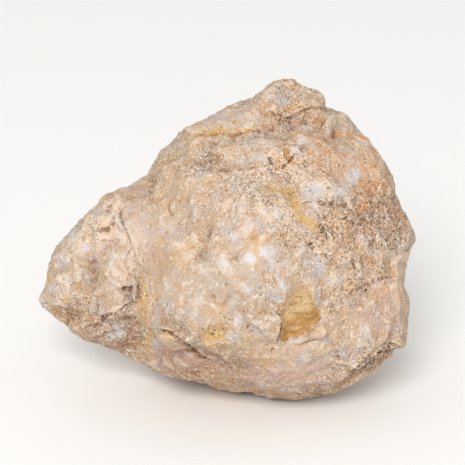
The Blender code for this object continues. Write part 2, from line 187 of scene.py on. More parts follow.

# Cracks and grooves of the side in the photograph: depth and half width in mm,
# how dark the painted shade at the crack's bottom is, and its way in pixels
cracks = {
    "cleft": (0.45, 0.56, 0.45, [(125, 197), (120, 213), (124, 228), (131, 240), (134, 252), (138, 264)]),
    "cleftFoot": (0.3, 0.77, 0.3, [(139, 272), (140, 290), (143, 312), (145, 335), (148, 360)]),
    "blockUndercut": (0.5, 0.5, 0.8,
                      [(138, 284), (137, 296), (130, 305), (121, 311), (111, 313), (103, 317)]),
    "rollFoot": (0.6, 0.56, 0.6, [(97, 229), (106, 230), (111, 223)]),
    "rollFootEnd": (0.38, 0.56, 0.3, [(94, 246), (103, 241), (116, 241), (122, 237)]),
    "lobeCrack": (0.52, 0.49, 0.7, [(98, 302), (99, 311), (104, 320), (98, 325), (86, 326)]),
    "lobeHollow": (0.6, 0.77, 0.7, [(68, 309), (71, 316), (67, 325)]),
    "flankPitA": (0.45, 0.45, 0.6, [(152, 184), (150, 190), (152, 198)]),
    "flankPitB": (0.45, 0.45, 0.5, [(156, 203), (157, 212)]),
    "flankPitC": (0.6, 0.45, 0.7, [(168, 202), (169, 209), (172, 215)]),
    "flankStreak": (0.22, 0.49, 0.25, [(197, 214), (194, 226), (186, 236)]),
    "domeStreak": (0.3, 0.56, 0.4, [(210, 196), (211, 214), (209, 234), (203, 250)]),
    "domeCrack": (0.38, 0.45, 0.5, [(217, 270), (222, 279), (231, 288), (238, 300)]),
    "domeFold": (0.3, 0.63, 0.3, [(226, 252), (236, 246), (247, 240), (260, 236)]),
    "scarSide": (0.5, 0.45, 1, [(278, 310), (278, 313), (282, 320), (281, 331), (277, 341), (271, 350)]),
    "scarBottom": (0.25, 0.45, 0.6, [(282, 340), (295, 338), (304, 332), (315, 327), (322, 318)]),
    "underStreak": (0.52, 0.45, 0.8, [(295, 235), (303, 241), (314, 247)]),
    "streakEnd": (0.68, 0.45, 1, [(318, 216), (321, 224), (325, 233), (327, 238)]),
    "streakEndSide": (0.45, 0.45, 0.8, [(330, 228), (334, 238)]),
    "spotNotch": (0.75, 0.45, 1, [(284, 166), (288, 162), (292, 157)]),
    "centreCrackA": (0.45, 0.45, 0.9, [(268, 157), (271, 162), (273, 167)]),
    "centreCrackB": (0.45, 0.45, 0.8, [(300, 148), (304, 156), (308, 166)]),
    "centreCrackC": (0.38, 0.45, 0.6, [(268, 184), (276, 184), (284, 190)]),
    "valleyTop": (0.4, 0.45, 0.6, [(304, 203), (316, 201), (328, 204), (341, 204)]),
    "valleyPitA": (0.68, 0.56, 1, [(341, 219), (347, 217), (352, 222)]),
    "valleyPitB": (0.68, 0.56, 0.9, [(374, 200), (374, 207), (371, 219)]),
    "valleyPitC": (0.52, 0.45, 0.8, [(324, 254), (329, 256), (334, 256)]),
    "lowerPitA": (0.6, 0.45, 0.9, [(353, 260), (354, 268)]),
    "lowerPitB": (0.6, 0.45, 0.9, [(343, 287), (350, 293), (357, 290)]),
    "lowerPitC": (0.52, 0.56, 0.8, [(366, 277), (370, 286), (364, 292)]),
    "lowerLip": (0.45, 0.49, 0.6, [(372, 286), (380, 281), (391, 278)]),
    "lipUndercut": (0.75, 0.56, 0.8,
                    [(163, 331), (172, 333), (181, 340), (190, 347), (199, 355), (212, 361)]),
    "shelfGroove": (0.45, 0.56, 0.35,
                    [(190, 131), (206, 132), (232, 134), (248, 131), (264, 133), (277, 127), (304, 110)]),
    "knobRecess": (0.4, 0.9, 0.3, [(272, 114), (282, 119), (297, 118), (305, 111)]),
    "rightGroove": (0.45, 0.49, 0.4, [(333, 112), (326, 119), (318, 130)]),
    "overhang": (0.68, 0.63, 0.7, [(352, 372), (362, 367), (368, 358), (378, 354), (389, 350), (392, 344)]),
    "overhangSide": (0.38, 0.49, 0.5, [(334, 362), (332, 372), (331, 381)]),
    "shelfNotch": (0.45, 0.45, 0.9, [(184, 133), (188, 135)]),
}

# Sharp steps of that side: rise of the side to the left of the way as it runs, drop of the other
# side and how far both reach, in mm, and the way in pixels
ledges = {
    "bodyEdge": (0.55, 0.75, 1.6,
                 [(125, 192), (120, 206), (121, 219), (126, 231), (132, 242), (135, 252), (137, 262)]),
    "bodyFoot": (0.35, 0.35, 1.6, [(137, 276), (139, 290), (142, 312), (144, 335), (146, 356)]),
    "boss": (0.6, 0.5, 1.5, [(107, 250), (103, 262), (105, 275), (112, 284), (122, 288), (131, 286)]),
    "block": (-0.5, -0.7, 1.4, [(137, 290), (136, 299), (129, 305), (121, 309), (112, 312), (102, 314)]),
    "roll": (-0.8, -0.6, 1.2, [(112, 214), (110, 224), (104, 229), (95, 227), (88, 224)]),
    "lobeLip": (-0.5, -0.6, 1.3, [(98, 300), (101, 309), (104, 318), (99, 325), (88, 327)]),
    "scarLeft": (-0.45, -0.35, 1.0, [(280, 307), (277, 313), (282, 320), (281, 331), (280, 341)]),
    "scarRight": (-0.40, -0.15, 1.0,
                  [(282, 341), (291, 337), (303, 333), (311, 325), (320, 319), (320, 309)]),
    "streakEdge": (0.5, 0.4, 1.3, [(314, 210), (320, 218), (324, 228), (327, 238)]),
    "lip": (0.6, 0.8, 1.6, [(160, 330), (172, 332), (181, 339), (190, 346), (199, 354), (212, 360)]),
    "shelf": (0.5, 0.5, 1.5, [(190, 131), (206, 133), (232, 134), (248, 132), (258, 132)]),
    "recessTop": (0.15, 0.3, 2.4, [(262, 113), (272, 113), (282, 117), (297, 117), (304, 111)]),
    "knobSide": (0.4, 0.5, 1.8, [(304, 111), (314, 107), (324, 106)]),
    "rightRidge": (0.6, 0.5, 1.6, [(333, 112), (328, 118), (320, 128)]),
    "valleyLip": (0.3, 0.4, 1.6, [(304, 203), (316, 202), (328, 204), (341, 204), (352, 199)]),
    "overhang": (0.9, 0.9, 1.6,
                 [(352, 373), (361, 367), (367, 360), (377, 355), (386, 350), (391, 343), (400, 345)]),
    "pitsLip": (-0.6, -0.4, 1.3, [(345, 292), (356, 291), (366, 287), (378, 282), (392, 277)]),
}

# Corners of the outline that the smoothing takes off, and one notch: centre and half sizes in
# pixels, and how far the skin is pushed out there, in mm
corners = {
    "knobCorner": (321, 96, 6, 6, 0.9),
    "knobTop": (292, 82, 5, 4, 0.5),
    "knobNotch": (327, 106, 3, 4, -0.7),
    "shoulder": (347, 117, 10, 7, 1.0),
    "rightNose": (409, 245, 6, 6, 0.8),
    "rightUpper": (385, 166, 5, 8, 0.5),
    "rightMiddle": (396, 199, 5, 6, 0.6),
    "slabTop": (234, 105, 14, 5, 0.6),
    "leftUpper": (163, 150, 9, 8, 0.5),
    "leftNose": (41, 298, 5, 6, 0.6),
}

# How crumbled the rind is: centre and half sizes in pixels, and what the zone adds to the usual share
crumbledZones = {
    "upperCentre": (268, 178, 62, 36, 0.26),
    "valley": (368, 222, 46, 30, 0.65),
    "lowerPits": (354, 282, 22, 15, 0.42),
    "underStreak": (306, 240, 24, 14, 0.22),
    "knob": (288, 104, 38, 16, 0.35),
    "lobeFoot": (84, 312, 34, 22, 0.38),
    "lobeCorner": (128, 330, 18, 20, 0.4),
    "hollowUnderShelf": (212, 162, 26, 14, 0.45),
    "rightEdge": (402, 222, 12, 16, 0.15),
    "rollFoot": (112, 226, 16, 14, -0.15),
    "block": (114, 300, 20, 16, -0.15),
    "neck": (148, 192, 18, 12, 0.2),
    "bottomRim": (320, 390, 50, 6, 0.3),
    "paleRidge": (388, 256, 24, 11, -0.3),
    "boss": (110, 258, 22, 24, -0.18),
    "overhang": (368, 368, 30, 16, 0.5),
    "flank": (145, 228, 26, 36, -0.36),
    "flankLow": (175, 265, 26, 30, -0.18),
    "dome": (244, 254, 54, 48, -0.30),
    "lowerDome": (195, 300, 40, 38, -0.16),
    "bottom": (285, 368, 70, 20, -0.22),
    "lowerRight": (388, 302, 22, 30, -0.28),
    "scar": (301, 314, 22, 24, -0.42),
    "streak": (302, 212, 15, 14, -0.42),
    "streakTop": (287, 194, 13, 10, -0.28),
    "shelf": (230, 118, 46, 10, -0.2),
    "upperRight": (358, 150, 26, 34, -0.18),
}

# Outline of the ochre scar where a flake came off, in pixels
scarEdge = [(296, 290), (301, 288), (312, 291), (313, 298), (316, 303), (320, 310), (321, 319),
            (317, 323), (311, 326), (308, 331), (302, 334), (296, 336), (290, 337), (285, 341),
            (281, 341), (280, 335), (282, 322), (280, 316), (277, 312), (280, 305), (287, 300)]
scarLower = (306.0, 326.0)  # it turns deeper in colour between these heights


def wander(points, size, seed):
    # smooth noise from about -1 to 1, with features of that size; each seed reads another place of it
    shift = Vector((seed * 7.3, seed * 3.1, seed * 5.7))
    return np.array([noise.noise(Vector(p) / size + shift) for p in points])


def readSkin(ob):
    # what every pattern needs to know of the skin's points
    points = meshPoints(ob)
    facing = meshNormals(ob) @ towards
    x, y = photoPlace(points)
    return {
        "points": points,
        "x": x,
        "y": y,
        "front": ease(*rindShape["front"], facing),
        "hidden": 1.0 - ease(*rindShape["hidden"], facing),
        "clear": ease(*rindShape["flatKept"], points[:, 2]),
        "broad": [wander(points, rindShape["broad"], seed) for seed in (1, 2)],
        "fine": [wander(points, rindShape["fine"], seed) for seed in (3, 4)],
    }


def wavered(skin, broad, fine):
    # the points' pixels, pushed about so that no edge drawn on them runs straight
    return [skin[k] + broad * skin["broad"][i] + fine * skin["fine"][i] for i, k in enumerate("xy")]


def pathGap(x, y, path):
    # distance to a path, and the signed distance to the line of its nearest stretch
    gap = np.full(x.shape, 1e9)
    side = np.zeros(x.shape)
    for (ax, ay), (bx, by) in zip(path[:-1], path[1:]):
        length = math.hypot(bx - ax, by - ay)
        dx, dy = (bx - ax) / length, (by - ay) / length
        t = np.clip((x - ax) * dx + (y - ay) * dy, 0.0, length)
        away = np.hypot(x - ax - t * dx, y - ay - t * dy)
        nearer = away < gap
        gap[nearer] = away[nearer]
        side[nearer] = ((x - ax) * dy - (y - ay) * dx)[nearer]
    return gap, side


def insideScar(x, y):
    # how far inside the scar, in pixels; outside is below 0
    inside = np.zeros(x.shape, bool)
    for (ax, ay), (bx, by) in zip(scarEdge, scarEdge[1:] + scarEdge[:1]):
        if ay != by:
            inside ^= ((ay > y) != (by > y)) & (x < (bx - ax) * (y - ay) / (by - ay) + ax)
    gap = pathGap(x, y, scarEdge + scarEdge[:1])[0]
    return np.where(inside, gap, -gap)


def crumbledShare(skin):
    size, swing = rindShape["crumbledBroad"]
    share = rindShape["crumbledUsual"] + swing * wander(skin["points"], size, 8)
    x, y = wavered(skin, *rindShape["crumbledWaver"])
    for *place, adds in crumbledZones.values():
        share += skin["front"] * adds * softSpot(x, y, *place)
    size, swing = rindShape["crumbledFine"]
    share = np.clip(share, rindShape["crumbledLeast"], 1.0) * (1.0 + swing * wander(skin["points"], size, 9))
    return np.minimum(share, 1.0) * skin["clear"]


def crackPattern(skin):
    # depth of the cracks, darkness of the painted shade at their bottoms and signed distance from their
    # middles, in mm
    x, y = wavered(skin, *rindShape["crackWaver"])
    size, low, high = rindShape["crackBroken"]
    shown = skin["front"] * skin["clear"] * ease(low, high, wander(skin["points"], size, 12))
    depth, dark, side = np.zeros(len(x)), np.zeros(len(x)), np.full(len(x), 9.0)
    for deep, width, darkness, path in cracks.values():
        gap, across = [d * shot["pixel"] / mm for d in pathGap(x, y, path)]
        depth = np.maximum(depth, shown * deep * groove(gap, width))
        here = shown * darkness * groove(gap, rindShape["crackShade"])
        side = np.where(here > dark, across, side)
        dark = np.maximum(dark, here)
    size, spread = rindShape["hiddenLines"]
    lines = wander(skin["points"], size, 14) * spread
    size, low, high = rindShape["hiddenPatches"]
    broken = ease(low, high, wander(skin["points"], size, 15)) * skin["hidden"] * skin["clear"]
    deep, width, darkness = rindShape["hiddenCut"]
    depth = np.maximum(depth, deep * broken * groove(lines, width))
    here = darkness * broken * groove(lines, rindShape["crackShade"])
    side = np.where(here > dark, lines, side)
    return depth, np.maximum(dark, here), side


def ledgePattern(skin):
    # how far the ledges raise each point, in mm; below 0 where they lower it
    x, y = wavered(skin, *rindShape["ledgeWaver"])
    shown = skin["front"] * skin["clear"] * ease(*rindShape["ledgeBroken"], skin["fine"][1])
    rise = np.zeros(len(x))
    for lip, foot, reach, path in ledges.values():
        gap, across = [d * shot["pixel"] / mm for d in pathGap(x, y, path)]
        upper = ease(-rindShape["ledgeHalf"], rindShape["ledgeHalf"], across)
        rise += shown * (lip * upper - foot * (1.0 - upper)) * np.exp(-gap / reach)
    return rise


def cornerPattern(skin):
    rise = np.zeros(len(skin["x"]))
    for *place, out in corners.values():
        rise += out * softSpot(skin["x"], skin["y"], *place)
    return rise * skin["clear"]


def pitPattern(skin, crumbled):
    # small pits scattered where the rind is crumbled, and a few elsewhere
    dice = random.Random(5)
    points = skin["points"]
    tree = KDTree(len(points))
    for i, p in enumerate(points):
        tree.insert(p, i)
    tree.balance()
    depth = np.zeros(len(points))
    for _ in range(rindShape["pits"]):
        i = dice.randrange(len(points))
        size = dice.uniform(*rindShape["pitSize"])
        deep = dice.uniform(*rindShape["pitShares"])
        if dice.random() < crumbled[i] ** 2 + rindShape["pitStrays"]:
            for _, j, gap in tree.find_range(Vector(points[i]), size * rindShape["pitReach"]):
                depth[j] = max(depth[j], deep * math.exp(-((gap / size) ** 2)))
    return depth * skin["clear"]


def paintGroup(ob, name, weights, fineness=200):
    # one call for all points of one weight, rounded to so many steps
    group = ob.vertex_groups.new(name=name)
    steps = np.round(np.clip(weights, 0.0, 1.0) * fineness).astype(int)
    for step in np.unique(steps):
        if step:
            group.add(np.nonzero(steps == step)[0].tolist(), step / fineness, "REPLACE")


def reliefTexture(name, kind, **settings):
    made = bpy.data.textures.new(name, kind)
    made.noise_scale = rindShape[name][0]
    for key, value in settings.items():
        setattr(made, key, value)
    return made


def buildRind():
    makeActive(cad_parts["geode"])
    bpy.ops.object.duplicate()
    rind = bpy.context.object
    rind.name = "geodeRind"
    rind.parent = None
    bpy.ops.object.mode_set(mode="EDIT")
    bpy.ops.mesh.select_all(action="SELECT")
    bpy.ops.mesh.remove_doubles(threshold=rindShape["weld"])
    bpy.ops.object.mode_set(mode="OBJECT")
    applyModifier(rind, "REMESH", mode="VOXEL", voxel_size=rindShape["voxel"])
    for strength, rounds in rindShape["smoothing"]:
        applyModifier(rind, "SMOOTH", factor=strength, iterations=rounds)
    applyModifier(rind, "DISPLACE", mid_level=0.0, strength=rindShape["swell"])
    print("rind remeshed to %d points" % len(rind.data.vertices))

    skin = readSkin(rind)
    crumbled = crumbledShare(skin)
    inside = insideScar(*wavered(skin, *rindShape["scarWaver"]))
    scar = ease(*rindShape["scarBrink"], inside) * skin["front"]
    least, added = rindShape["reliefShare"]
    paintGroup(rind, "all", skin["clear"] * (least + added * crumbled) * (1.0 - rindShape["scarCalm"] * scar))
    paintGroup(rind, "rough", crumbled)
    stepped = ledgePattern(skin) + cornerPattern(skin)
    paintGroup(rind, "raised", stepped)
    paintGroup(rind, "lowered", -stepped)
    paintGroup(rind, "cracked", crackPattern(skin)[0])
    paintGroup(rind, "pitted", pitPattern(skin, crumbled))
    paintGroup(rind, "scarred", scar)

    relief = (
        (reliefTexture("clods", "CLOUDS", noise_depth=2), "all"),
        (reliefTexture("crumbs", "CLOUDS", noise_depth=2, noise_type="HARD_NOISE"), "rough"),
        (reliefTexture("clumps", "VORONOI", weight_1=-1.0, weight_2=1.0), "rough"),
        (reliefTexture("bits", "CLOUDS", noise_depth=1), "all"),
    )
    for texture, group in relief:
        applyModifier(rind, "DISPLACE", texture=texture, texture_coords="LOCAL", mid_level=0.5,
                      strength=rindShape[texture.name][1], vertex_group=group)
    for group, depth in (("raised", -mm), ("lowered", mm), ("cracked", mm),
                         ("pitted", rindShape["pitDepth"]), ("scarred", rindShape["scarDepth"])):
        applyModifier(rind, "DISPLACE", mid_level=0.0, strength=-depth, vertex_group=group)

    thinning = rindShape["triangles"] / (2 * len(rind.data.polygons))  # the remesh left quads
    applyModifier(rind, "DECIMATE", ratio=min(1.0, thinning))
    rind.vertex_groups.clear()
    points = meshPoints(rind)
    points[:, 2] = np.maximum(points[:, 2], 0.0)
    rind.data.vertices.foreach_set("co", points.ravel())
    rind.data.update()
    makeActive(rind)
    bpy.ops.object.shade_smooth()
    return rind


rind = buildRind()
print("rind built with %d faces" % len(rind.data.polygons))

# Stains of the side in the photograph, with painted light and shade among them: centre and half
# sizes in pixels, strength in percent, and for some a turn in degrees
stainsAndShading = {
    # cream: stains, and painted light that lightens the lobe's top and the right edge where the lighting
    # leaves them dim
    "cream": [
        (105, 222, 30, 18, 55, -35), (88, 240, 18, 16, 50), (120, 265, 14, 20, 50), (135, 235, 16, 30, 65),
        (265, 178, 45, 22, 35), (300, 150, 26, 22, 35), (365, 150, 18, 28, 50, -20), (358, 276, 22, 14, 80),
        (290, 98, 26, 12, 20), (296, 236, 18, 12, 40), (310, 248, 14, 10, 50), (270, 152, 22, 14, 40),
        (368, 150, 16, 26, 70, -20), (350, 130, 14, 10, 40), (276, 390, 44, 8, 60), (306, 372, 28, 10, 55),
        (150, 188, 18, 12, 40), (300, 168, 26, 20, 40), (130, 212, 12, 12, 40), (288, 222, 14, 16, 40),
        (393, 257, 20, 9, 80), (397, 285, 8, 30, 50), (300, 345, 18, 8, 40), (270, 210, 20, 14, 60),
        (122, 312, 12, 8, 60), (318, 190, 22, 14, 70), (60, 290, 12, 14, 50), (330, 330, 24, 14, 30),
        (230, 210, 24, 18, 40), (375, 318, 18, 18, 30), (270, 95, 20, 6, 30, -20),
    ],
    # tan: stains, and large soft patches that darken the flank, the lower dome, the lobe's foot and the
    # bottom
    "tan": [
        (165, 262, 18, 26, 55), (203, 295, 34, 30, 55), (248, 292, 28, 24, 50), (122, 338, 26, 16, 70),
        (222, 335, 34, 16, 60, 15), (178, 327, 20, 16, 80), (218, 334, 16, 12, 80),
        (195, 372, 38, 12, 50, 12), (272, 315, 20, 16, 55), (182, 190, 12, 36, 60, 10),
        (350, 318, 26, 20, 35), (250, 235, 14, 12, 40), (340, 246, 18, 12, 40), (80, 280, 14, 22, 35),
        (270, 350, 24, 10, 40), (168, 165, 10, 18, 50, 15), (264, 312, 20, 20, 45), (85, 285, 24, 24, 45),
        (252, 314, 28, 18, 60), (272, 92, 14, 9, 60, -20), (350, 264, 20, 14, 40), (350, 332, 18, 14, 50),
        (180, 172, 16, 28, 45, 10), (110, 272, 14, 13, 60),
    ],
    "white": [
        (250, 258, 8, 6, 90), (269, 251, 9, 8, 80), (222, 263, 6, 4, 80, 30), (232, 237, 9, 6, 60),
        (250, 224, 12, 8, 35, -20), (250, 281, 18, 12, 28), (98, 250, 26, 24, 25), (228, 114, 30, 9, 25),
        (290, 96, 24, 9, 25), (120, 262, 16, 18, 20), (150, 225, 22, 26, 22), (200, 290, 26, 22, 20),
        (262, 214, 8, 5, 50), (276, 211, 6, 5, 60), (286, 266, 5, 7, 60), (284, 284, 6, 5, 70),
        (249, 290, 5, 6, 70), (301, 249, 5, 5, 60), (306, 262, 6, 4, 50), (322, 269, 4, 6, 60),
        (304, 142, 8, 5, 80, -10), (294, 151, 8, 4, 80, -40), (314, 192, 14, 9, 82), (338, 190, 8, 10, 55),
        (352, 176, 7, 11, 70, 20), (283, 101, 7, 4, 70), (270, 97, 6, 3, 50, -30), (242, 163, 12, 5, 50),
        (258, 155, 8, 4, 50), (205, 172, 7, 5, 50), (229, 154, 6, 5, 40), (201, 154, 5, 6, 40),
        (117, 328, 3, 8, 100, -15), (111, 334, 5, 4, 60), (53, 288, 5, 4, 80), (84, 245, 6, 4, 70),
        (74, 236, 7, 8, 50, 30), (99, 211, 9, 6, 40, -30), (64, 262, 5, 5, 60), (66, 281, 4, 6, 50),
        (115, 283, 7, 4, 40, 30), (237, 318, 5, 6, 60, 30), (256, 325, 7, 3, 50, -10), (234, 334, 9, 6, 55),
        (364, 331, 7, 8, 50), (376, 321, 7, 6, 40, 30), (341, 282, 6, 5, 60, -50), (328, 281, 6, 4, 50),
        (321, 321, 5, 5, 40), (240, 205, 8, 6, 35), (375, 215, 6, 5, 35), (386, 217, 8, 6, 40),
        (362, 236, 5, 4, 40), (330, 354, 6, 5, 35), (284, 128, 6, 5, 40), (306, 128, 4, 3, 50),
        (275, 343, 6, 4, 30), (130, 232, 8, 12, 20),
    ],
    "ochre": [
        (218, 132, 15, 3.5, 90, 5), (251, 130, 13, 3, 100), (214, 138, 11, 6, 25), (287, 157, 6, 8, 200, -15),
        (216, 333, 14, 9, 62), (210, 343, 8, 3, 80, 15), (249, 337, 9, 5, 45, -15), (231, 343, 4, 3, 50),
        (172, 336, 6, 5, 80), (214, 313, 15, 8, 35), (160, 164, 6, 9, 45, 20), (143, 302, 6, 28, 65, -4),
        (148, 336, 5, 20, 55), (66, 300, 5, 4, 60), (313, 386, 6, 3, 60), (293, 84, 4, 3, 80, 20),
        (303, 89, 3, 2, 60), (353, 283, 8, 6, 45), (251, 393, 5, 2, 60), (260, 160, 4, 4, 40),
        (220, 167, 5, 4, 40), (284, 252, 3, 3, 50), (272, 187, 15, 7, 55), (195, 325, 9, 6, 35, 30),
        (290, 190, 8, 5, 70), (275, 190, 7, 3, 50), (182, 181, 4, 4, 40), (290, 110, 22, 9, 40),
        (95, 272, 12, 14, 25),
    ],
    # orange: stains, and a faint strip of painted light that warms the right edge
    "orange": [
        (345, 134, 14, 6, 60, 20), (362, 137, 6, 5, 70), (368, 160, 13, 17, 50), (362, 183, 7, 8, 55),
        (377, 172, 10, 12, 40), (275, 112, 22, 8, 30, 10), (108, 224, 10, 6, 30, -20), (150, 290, 6, 30, 10),
        (392, 218, 24, 20, 60, 10), (360, 290, 20, 14, 35), (372, 208, 26, 36, 60, 10),
        (388, 280, 14, 26, 35), (345, 168, 20, 20, 35), (335, 225, 26, 22, 30), (325, 155, 28, 28, 45),
        (250, 226, 16, 12, 30), (275, 172, 24, 14, 30), (290, 202, 16, 14, 35), (232, 190, 14, 12, 30),
        (290, 128, 14, 10, 40), (268, 165, 26, 20, 25), (370, 262, 24, 20, 30), (290, 112, 26, 12, 50),
        (306, 140, 28, 16, 45), (398, 280, 7, 34, 25), (345, 235, 24, 14, 30), (175, 285, 10, 14, 10),
    ],
    "grey": [
        # grey: stains, but the band along the bottom edge is painted shade with dirt
        (180, 324, 4, 17, 60, -52), (198, 342, 14, 5, 70, 35), (155, 322, 7, 26, 50), (158, 342, 8, 6, 60),
        (233, 303, 10, 5, 60, 10), (308, 277, 6, 5, 60), (326, 341, 7, 5, 60), (208, 256, 7, 7, 50),
        (206, 268, 9, 7, 45), (345, 350, 12, 6, 40), (256, 290, 20, 16, 45), (345, 262, 10, 6, 35),
        (190, 290, 12, 20, 30), (172, 300, 10, 26, 30), (252, 122, 12, 4, 40, -20),
        (218, 112, 10, 3, 50, -30), (305, 196, 6, 8, 50), (330, 116, 12, 4, 50, 10), (180, 148, 10, 10, 35),
        (75, 227, 6, 12, 40, 35), (288, 229, 8, 6, 35), (376, 252, 20, 6, 40, -10), (345, 152, 14, 8, 35),
        (358, 128, 8, 8, 40, 30), (43, 302, 4, 5, 80), (205, 200, 30, 24, 40), (238, 282, 40, 34, 40),
        (320, 365, 40, 18, 30), (150, 330, 28, 22, 25), (195, 310, 30, 20, 25), (150, 208, 18, 16, 30),
        (108, 335, 28, 12, 30, 20), (214, 352, 34, 10, 30, 10), (190, 320, 24, 16, 30), (54, 286, 12, 12, 35),
        (290, 94, 22, 10, 35), (330, 300, 16, 10, 30), (392, 296, 10, 14, 15), (245, 318, 10, 8, 40),
        (250, 292, 20, 14, 50), (108, 252, 14, 14, 35), (300, 386, 48, 7, 45), (120, 350, 20, 8, 25, 20),
    ],
    "brown": [
        # brown: stains, but the bands under the lip, under the lower-right overhang and along the bottom edge
        # are painted shade with dirt
        (372, 208, 26, 12, 25, 12), (352, 222, 18, 12, 35), (395, 228, 10, 14, 45, 20),
        (93, 271, 8, 10, 50, 10), (86, 288, 8, 8, 40), (71, 316, 7, 8, 60), (90, 323, 12, 5, 60),
        (132, 335, 12, 13, 65), (128, 300, 12, 10, 50), (112, 348, 14, 8, 40, 20), (192, 349, 18, 6, 70, 33),
        (232, 366, 22, 8, 55, 5), (213, 160, 12, 8, 50), (282, 116, 14, 6, 60), (300, 108, 14, 5, 40, -10),
        (370, 281, 10, 9, 25), (383, 260, 16, 3, 40, -5), (368, 350, 18, 8, 35, -20),
        (372, 362, 14, 6, 50, -30), (250, 234, 10, 5, 35, -30), (170, 345, 10, 6, 40), (262, 110, 8, 6, 35),
        (320, 125, 5, 10, 40, 30), (153, 250, 8, 18, 20, 10), (208, 222, 5, 18, 35, 5),
        (55, 312, 10, 4, 50, 35), (330, 240, 14, 14, 20), (186, 200, 8, 16, 15), (95, 337, 14, 6, 40, 20),
        (180, 372, 22, 9, 50, 18), (225, 380, 20, 7, 45, 10), (268, 393, 30, 4, 60, 4),
        (312, 391, 26, 4, 60, -6), (350, 379, 20, 4, 60, -24), (382, 360, 16, 5, 60, -35),
        (172, 160, 14, 22, 30, 15), (168, 265, 14, 18, 25), (70, 335, 14, 4, 50, 30), (200, 340, 22, 14, 30),
        (215, 355, 36, 12, 50, 12), (172, 358, 18, 12, 50, 20), (93, 300, 18, 14, 35),
        (172, 325, 20, 12, 50, 40), (92, 331, 18, 12, 60, 20), (125, 340, 18, 14, 70), (250, 312, 26, 16, 25),
        (214, 371, 36, 9, 45, 8), (214, 332, 16, 10, 60), (266, 104, 14, 12, 40, -20), (165, 320, 12, 14, 20),
    ],
    "pink": [
        # pink: stains, but the long bands along the bottom are painted shade with a mauve cast
        (285, 376, 75, 14, 60, -2), (120, 335, 26, 14, 50, 15), (380, 315, 26, 34, 50),
        (150, 235, 22, 30, 35), (142, 204, 20, 22, 35), (335, 245, 20, 14, 35), (255, 105, 24, 8, 35),
        (190, 362, 40, 14, 80, 12), (350, 165, 20, 16, 35), (350, 320, 26, 20, 30), (280, 350, 30, 10, 30),
        (335, 140, 12, 14, 35), (215, 370, 20, 8, 50, 10),
    ],
}
ochreStreak = [(283, 189), (292, 194), (297, 206), (301, 217), (311, 222), (320, 230)]

# Stains scattered over the hidden sides: how many, and their half sizes in mm
hiddenStains = {
    "cream": (34, 4.0, 12.0),
    "tan": (30, 4.0, 12.0),
    "white": (70, 1.2, 4.0),
    "ochre": (16, 1.5, 5.0),
    "orange": (10, 2.0, 4.5),
    "grey": (40, 3.0, 9.0),
    "brown": (26, 2.0, 5.0),
    "pink": (12, 5.0, 12.0),
}
